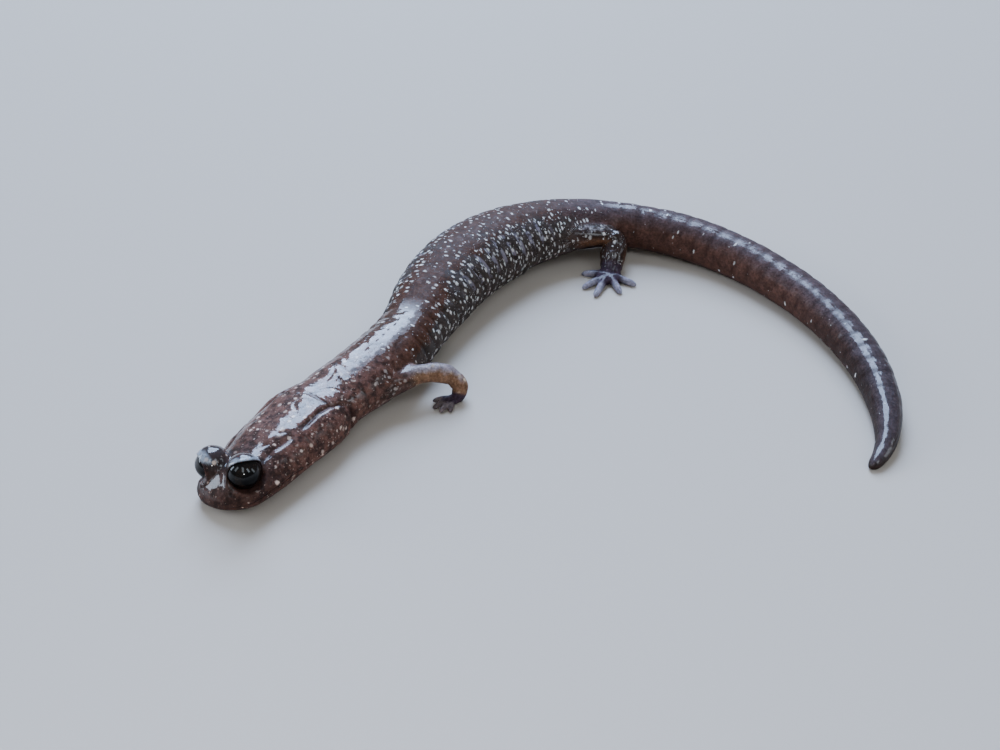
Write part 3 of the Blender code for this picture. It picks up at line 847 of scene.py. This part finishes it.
class Maker:
    # short calls for the nodes of one material
    def __init__(self, name):
        self.material = bpy.data.materials.new(name)
        self.material.use_nodes = True
        self.nodes = self.material.node_tree.nodes
        self.links = self.material.node_tree.links
        self.shader = self.nodes["Principled BSDF"]

    def put(self, socket, value):
        if isinstance(value, bpy.types.NodeSocket):
            self.links.new(value, socket)
        elif socket.type == "RGBA" and len(value) == 3:
            socket.default_value = (*value, 1)
        else:
            socket.default_value = value

    def surface(self, values):
        for key, value in values.items():
            self.put(self.shader.inputs[key], value)

    def add(self, kind, inputs, output=0, **settings):
        node = self.nodes.new(kind)
        for key, value in settings.items():
            setattr(node, key, value)
        for key, value in inputs.items():
            self.put(node.inputs[key], value)
        return node.outputs[output]

    def math(self, operation, a, b=0, c=0):
        return self.add("ShaderNodeMath", {0: a, 1: b, 2: c}, operation=operation)

    def plus(self, a, b):
        return self.math("ADD", a, b)

    def minus(self, a, b):
        return self.math("SUBTRACT", a, b)

    def most(self, a, b):
        return self.math("MAXIMUM", a, b)

    def scaled(self, value, factor, shift):
        return self.math("MULTIPLY_ADD", value, factor, shift)

    def times(self, first, *others):
        for other in others:
            first = self.math("MULTIPLY", first, other)
        return first

    def ramp(self, value, low, high, start=0, end=1):
        return self.add("ShaderNodeMapRange", {0: value, 1: low, 2: high, 3: start, 4: end},
                        interpolation_type="SMOOTHSTEP")

    def blend(self, share, a, b):
        return self.add("ShaderNodeMix", {0: share, 2: a, 3: b}, data_type="FLOAT")

    def mix(self, share, a, b, blend="MIX"):
        return self.add("ShaderNodeMix", {0: share, 6: a, 7: b}, output=2, data_type="RGBA", blend_type=blend)

    def vector(self, operation, a, b):
        return self.add("ShaderNodeVectorMath", {0: a, 1: b}, operation=operation)

    def attribute(self, name):
        vector = self.add("ShaderNodeAttribute", {}, output=1, attribute_name=name)
        split = self.nodes.new("ShaderNodeSeparateXYZ")
        self.links.new(vector, split.inputs[0])
        return vector, split.outputs

    def noise(self, vector, scale, detail=2, rough=0.5, output=0):
        return self.add("ShaderNodeTexNoise", {"Vector": vector, "Scale": scale, "Detail": detail,
                                               "Roughness": rough}, output=output)


def flecks(m, where, density, cell, small, large, seed, flat=False, stretch=1):
    # pale spots, one at most in each cell of a pattern, and a random tone for each
    moved = m.vector("ADD", where, (seed, seed * 1.7, 0))
    bend = m.vector("SUBTRACT", m.noise(moved, 3, 1.5, output=1), (0.5, 0.5, 0.5))
    moved = m.vector("ADD", moved, m.vector("MULTIPLY", bend, (0.35, 0.35, 0 if flat else 0.35)))
    cells = m.vector("MULTIPLY", moved, (1 / cell, 1 / (cell * stretch), 1 / cell))
    spread = m.nodes.new("ShaderNodeTexVoronoi")
    spread.voronoi_dimensions = "2D" if flat else "3D"
    spread.inputs["Scale"].default_value = 1
    spread.inputs["Randomness"].default_value = 0.92
    m.links.new(cells, spread.inputs["Vector"])
    random = m.nodes.new("ShaderNodeSeparateColor")
    m.links.new(spread.outputs["Color"], random.inputs[0])
    there = m.math("LESS_THAN", random.outputs[0], density)
    size = m.add("ShaderNodeMapRange", {0: random.outputs[1], 1: 0, 2: 1, 3: small, 4: large})
    mask = m.ramp(spread.outputs["Distance"], m.times(size, 0.35), size, 1, 0)
    return m.times(mask, there), random.outputs[2]


def readSkin(m):
    # what the mesh says of each place, with the noises that break up every edge
    at = SimpleNamespace()
    at.grain, (_, at.arc, at.folds) = m.attribute("grain")
    share, at.lift, at.limb = m.attribute("zone")[1]
    at.lid, at.dark, at.foot = m.attribute("shade")[1]
    at.along = m.times(share, spine["length"])
    at.solid = m.vector("MULTIPLY", m.add("ShaderNodeTexCoord", {}, output=3), (1 / mm, 1 / mm, 1 / mm))
    at.patchy = m.noise(at.solid, 0.45, 3)
    at.cloudy = m.noise(at.solid, 1.3, 3, 0.6)
    at.fine = m.noise(at.solid, 4, 3, 0.65)
    at.shifted = m.plus(at.along, m.scaled(at.patchy, 8, -4))
    # back, flank and belly meet in a ragged line, higher up behind the shoulders
    at.ragged = m.plus(at.lift, m.scaled(at.patchy, 0.6, -0.3))
    at.ragged = m.plus(at.ragged, m.scaled(at.fine, 0.3, -0.15))
    at.edge = m.ramp(at.along, 22, 36, 0.35, 0.8)
    at.headness = m.ramp(at.shifted, 15, 25, 1, 0)
    at.hind = m.ramp(at.along, 30, 40)
    at.onLimb = m.ramp(at.limb, 0.15, 0.9)
    return at


def paintSkin(m, at):
    c = skinLook
    trunk = m.mix(m.ramp(m.minus(at.ragged, at.edge), -0.06, 0.16), c["flank"], c["back"])
    trunk = m.mix(m.ramp(at.ragged, -0.85, -0.45, 1, 0), trunk, c["belly"])
    # the head is darker towards the snout
    reddish = m.mix(m.ramp(at.cloudy, 0.36, 0.56), c["headDark"], c["head"])
    reddish = m.mix(m.ramp(at.along, 2.5, 8.5, 0.62, 0), reddish, c["snout"])
    colour = m.mix(at.headness, trunk, m.mix(m.ramp(at.lift, -0.7, -0.3), c["belly"], reddish))
    tail = m.mix(m.ramp(at.shifted, 84, 104), c["tail"], c["tailEnd"])
    tail = m.mix(m.ramp(at.lift, -0.85, -0.45, 0.6, 0), tail, c["belly"])
    # a painted sheen, purple-grey, along the top of the tail
    tail = m.mix(m.ramp(at.ragged, 0.35, 0.9, 0, 0.65), tail, c["paintedTailSheen"])
    colour = m.mix(m.ramp(at.shifted, 52, 62), colour, tail)
    # legs: grey or dark above, orange-brown below, toes pale; a painted highlight on the top of the hind legs
    above = m.plus(at.lift, m.scaled(at.cloudy, 0.8, -0.4))
    fore = m.mix(m.ramp(above, 0.35, 0.8), c["foreUnder"], c["foreTop"])
    rear = m.mix(m.ramp(above, -0.15, 0.45), c["hindUnder"], c["hindTop"])
    # painted highlight where the hind leg faces upward
    paintedHighlight = m.times(m.ramp(above, 0.72, 1.05), m.ramp(at.fine, 0.38, 0.6, 0.15, 0.9))
    leg = m.mix(at.hind, fore, m.mix(paintedHighlight, rear, c["hindPaintedHighlight"]))
    leg = m.mix(m.ramp(at.foot, 0.05, 0.35), leg, c["palm"])
    leg = m.mix(m.ramp(at.foot, 0.58, 0.95), leg, m.mix(at.hind, c["finger"], c["toe"]))
    return m.mix(at.onLimb, colour, leg)


def mottleSkin(m, at, colour):
    # light and dark patches, then a pale painted sheen on the upper side and painted reflection streaks in
    # the folds, then the lids
    grey = m.times(m.ramp(at.fine, 0.3, 0.7, 0.7, 1.35), m.ramp(at.cloudy, 0.3, 0.7, 0.75, 1.25))
    grey = m.add("ShaderNodeCombineColor", {0: grey, 1: grey, 2: grey})
    colour = m.mix(1, colour, grey, "MULTIPLY")
    paintedSheen = m.times(m.ramp(m.noise(at.solid, 2.6, 4, 0.7), 0.5, 0.7), 0.06, m.ramp(at.lift, 0.2, 0.9))
    # painted reflection streaks along the folds
    inFolds = m.times(m.ramp(at.folds, 0.15, 0.55), m.ramp(at.cloudy, 0.42, 0.56, 0, 0.85),
                      m.ramp(at.lift, 0.05, 0.4), m.ramp(at.along, 33, 38))
    colour = m.mix(m.most(paintedSheen, inFolds), colour, skinLook["paintedSheen"])
    colour = m.mix(m.ramp(at.lid, 0.1, 0.45, 0, 0.85), colour, skinLook["lid"])
    # painted highlight on the upper lids
    lidHighlightShare = m.times(m.ramp(at.lid, 0.5, 0.85), m.ramp(at.fine, 0.3, 0.6, 0.5, 0.95))
    return m.mix(lidHighlightShare, colour, skinLook["paintedLidHighlight"])


def fleckDensity(m, at):
    # dense on the flanks and the hind leg, fewer on back and head, few on the tail
    onTrunk = m.times(m.ramp(at.along, 18, 28), m.ramp(at.shifted, 50, 62, 1, 0))
    onFlank = m.times(m.ramp(m.minus(at.lift, at.edge), 0, 0.3, 1, 0.16),
                      m.ramp(at.lift, -0.9, -0.4, 0.35, 1))
    onHead = m.times(at.headness, m.ramp(at.along, 1.5, 5, 0.4, 1),
                     m.ramp(at.patchy, 0.35, 0.6, 0.45, 0.95))
    density = m.most(m.scaled(m.times(onTrunk, onFlank), 0.78, 0.05), onHead)
    onLeg = m.blend(at.hind, m.ramp(at.lift, 0.1, 0.6, 0.12, 0.5), m.ramp(at.lift, -0.3, 0.2, 0.1, 0.75))
    onLeg = m.times(onLeg, m.ramp(at.foot, 0.1, 0.4, 1, 0.1))
    density = m.blend(at.onLimb, density, onLeg)
    return m.times(density, m.scaled(m.most(at.lid, at.dark), -0.85, 1))


def addFlecks(m, at, colour):
    density = fleckDensity(m, at)
    onBody, bodyTone = flecks(m, at.grain, density, **fleckKinds["body"])
    rounder, roundTone = flecks(m, at.solid, density, **fleckKinds["round"])
    dust = flecks(m, at.solid, m.times(density, 0.55), **fleckKinds["dust"])[0]
    # head and limbs have the round ones
    roundShare = m.most(at.headness, at.onLimb)
    spots = m.most(m.blend(roundShare, onBody, rounder), m.times(dust, 0.6))
    tone = m.blend(roundShare, m.ramp(bodyTone, 0, 1, 0.5, 1), m.ramp(roundTone, 0, 1, 0.25, 1))
    pale = m.mix(at.headness, skinLook["fleck"], skinLook["headFleck"])
    pale = m.mix(m.times(at.limb, m.minus(1, at.hind)), pale, skinLook["foreFleck"])
    return m.mix(m.times(spots, tone), colour, pale)


def waterFilm(m, at):
    # how wet each place is: least on the middle of the trunk
    onTrunk = m.times(m.ramp(at.along, 27, 30.5), m.ramp(at.along, 60, 66, 1, 0))
    inFolds = m.times(m.ramp(at.folds, 0.2, 0.7), m.ramp(at.cloudy, 0.4, 0.55))
    arc = m.plus(at.arc, m.scaled(at.cloudy, 1.6, -0.8))
    onNeck = m.times(m.ramp(arc, -1, -0.55, 0.2, 1), m.ramp(at.folds, 0.25, 0.7, 1, 0.05))
    inFront = m.blend(m.ramp(at.along, 15.5, 18), m.ramp(at.arc, -3.7, -3, 0.25, 1), onNeck)
    wet = m.blend(onTrunk, inFront, m.most(inFolds, m.ramp(at.cloudy, 0.5, 0.7, 0, 0.05)))
    # a narrow broken line of it along the tail, all of the top at the tail's end
    onTail = m.ramp(at.along, 61, 67)
    line = m.plus(m.plus(at.arc, 0.6), m.scaled(at.cloudy, 1.2, -0.6))
    line = m.ramp(m.math("ABSOLUTE", line), 0.12, 0.5, 0.46, 0.06)
    line = m.times(line, m.ramp(at.cloudy, 0.38, 0.5, 0.4, 1))
    wet = m.blend(onTail, wet, m.blend(m.ramp(at.shifted, 92, 103), line, 0.7))
    # less of it low on the sides, on the far side and in the creases
    low = m.blend(m.ramp(at.along, 4.5, 6.5), m.ramp(at.lift, 0.5, 0.85, 0.04, 1),
                  m.ramp(at.lift, 0, 0.55, 0.1, 1))
    low = m.blend(m.ramp(arc, -0.3, 0.8), low, m.ramp(at.lift, 0.45, 0.9, 0.03, 1))
    low = m.blend(onTail, low, m.ramp(at.lift, 0.2, 0.75, 0.06, 1))
    inCreases = m.blend(onTail, m.ramp(at.dark, 0.05, 0.5, 1, 0.2), m.ramp(at.dark, 0.02, 0.3, 1, 0.35))
    wet = m.times(wet, low, inCreases)
    onLeg = m.times(m.ramp(at.lift, 0.3, 0.8, 0.12, 1), m.blend(at.hind, 0.25, 1))
    return m.blend(at.onLimb, wet, m.times(onLeg, m.ramp(at.foot, 0, 0.4, 1, 0.3)))


def makeSkinMaterial():
    m = Maker("wetSkin")
    at = readSkin(m)
    colour = addFlecks(m, at, mottleSkin(m, at, paintSkin(m, at)))
    # painted shade in the creases, grooves, nostrils, folds, tail rings and below the eyes
    colour = m.mix(m.times(at.dark, 0.8), colour, skinLook["crease"])
    # fine grains in the skin, broader dents under the water too
    dents = m.noise(at.solid, 1.3, 3, 0.55)
    grains = m.noise(at.solid, 6, 2, 0.6)
    broad = m.add("ShaderNodeBump", {"Height": dents, "Strength": 0.5, "Distance": 0.00006})
    detail = m.add("ShaderNodeBump", {"Height": grains, "Strength": 0.8, "Distance": 0.00005,
                                      "Normal": broad})
    m.surface({
        "Base Color": colour, "Roughness": m.ramp(at.fine, 0.3, 0.7, 0.42, 0.62),
        "Specular IOR Level": 0.06, "Normal": detail,
        "Coat Weight": waterFilm(m, at), "Coat Roughness": 0.05, "Coat IOR": 1.45, "Coat Normal": broad,
        "Subsurface Weight": 0.15, "Subsurface Radius": (1, 0.35, 0.2), "Subsurface Scale": 0.0005,
    })
    return m.material


eyeLook = {"pupil": (0.001, 0.001, 0.0015), "iris": (0.004, 0.003, 0.003), "streak": (0.022, 0.011, 0.005)}


def makeEyeMaterial():
    m = Maker("wetEye")
    gaze, (angle, _, lift) = m.attribute("gaze")
    onIris = m.times(m.ramp(angle, 0.5, 0.56), m.ramp(angle, 1, 0.86))
    brown = m.mix(m.ramp(m.noise(gaze, 7, 3, 0.7), 0.45, 0.75), eyeLook["iris"], eyeLook["streak"])
    m.surface({
        "Base Color": m.mix(onIris, eyeLook["pupil"], brown), "Roughness": 0.3, "Specular IOR Level": 0.05,
        "Coat Weight": m.ramp(lift, 0, 0.5, 0.1, 1), "Coat Roughness": 0.015, "Coat IOR": 1.4,
    })
    return m.material


skin.data.materials.clear()
skin.data.materials.append(makeSkinMaterial())
eyeMaterial = makeEyeMaterial()
for eye in (eyeLeft, eyeRight):
    eye.data.materials.clear()
    eye.data.materials.append(eyeMaterial)
print("materials")

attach(skin, "root")
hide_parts("head", "neck", "trunk_front", "trunk_mid", "trunk_rear", "tail_base", "tail_mid", "tail_tip",
            "foreleg_left", "foreleg_right", "hindleg_left", "hindleg_right")
for eye, node in ((eyeLeft, "eye_left"), (eyeRight, "eye_right")):
    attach(eye, "root")
    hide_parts(node)

# what the windows share: aim and size in m, colour
window = ((-0.027, -0.025, 0.004), (0.11, 0.26), (0.8, 0.9, 1))

studio = {
    "camera": (-6.075, -92.2, 62.675), "tilt": 36, "lens": 38.601,
    "floorSize": 12, "floorColour": (0.47, 0.415, 0.36),
    "ambient": ((0.92, 0.91, 0.9), 0.16),
    # name, place in m, watts, aim in m, size in m, colour
    "lights": [
        ("skyLight", (-0.045, 1.092, 0.788), 28, (0, 0, 0), (0.84, 0.56), (0.5, 0.67, 1)),
        ("crownLight", (-0.165, 0.7, 1.145), 23, (0, 0, 0), (0.66, 0.47), (0.5, 0.67, 1)),
        ("sideLight", (-1.23, 0.18, 0.45), 11, (-0.02, -0.02, 0), (0.6, 0.6), (0.7, 0.82, 1)),
        ("windowOne", (-0.341, -0.225, 0.338), 0.32, *window),
        ("windowTwo", (-0.039, -0.3, 0.421), 0.36, *window),
        ("windowThree", (0.255, -0.232, 0.36), 0.48, *window),
        ("windowFour", (0.443, -0.043, 0.174), 0.32, *window),
        ("glint", (-0.02, -0.1, 0.045), 0.015, (-0.025, -0.025, 0), (0.005, 0.005), (1, 1, 1)),
    ],
}


def makeFloor():
    deselectAll()
    bpy.ops.mesh.primitive_plane_add(size=studio["floorSize"], location=(0, 0, 0))
    floor = bpy.context.object
    floor.name = "floor"
    m = Maker("paleFloor")
    m.surface({"Base Color": studio["floorColour"], "Roughness": 0.75})
    floor.data.materials.append(m.material)


def makeLights():
    for name, where, watts, aim, (width, height), colour in studio["lights"]:
        light = bpy.data.lights.new(name, "AREA")
        light.shape = "RECTANGLE"
        light.size, light.size_y = width, height
        light.energy = watts
        light.color = colour
        lamp = bpy.data.objects.new(name, light)
        lamp.location = where
        lamp.rotation_euler = (Vector(aim) - Vector(where)).to_track_quat("-Z", "Y").to_euler()
        bpy.context.scene.collection.objects.link(lamp)
    world = bpy.data.worlds.new("studio")
    world.use_nodes = True
    colour, strength = studio["ambient"]
    world.node_tree.nodes["Background"].inputs["Color"].default_value = (*colour, 1)
    world.node_tree.nodes["Background"].inputs["Strength"].default_value = strength
    bpy.context.scene.world = world


def makeCamera():
    lens = bpy.data.cameras.new("camera")
    lens.lens = studio["lens"]
    lens.sensor_width = 36
    lens.clip_start, lens.clip_end = 0.005, 10
    camera = bpy.data.objects.new("camera", lens)
    camera.location = [v * mm for v in studio["camera"]]
    camera.rotation_euler = (math.radians(90 - studio["tilt"]), 0, 0)
    bpy.context.scene.collection.objects.link(camera)
    bpy.context.scene.camera = camera


makeFloor()
makeLights()
makeCamera()
print("studio")
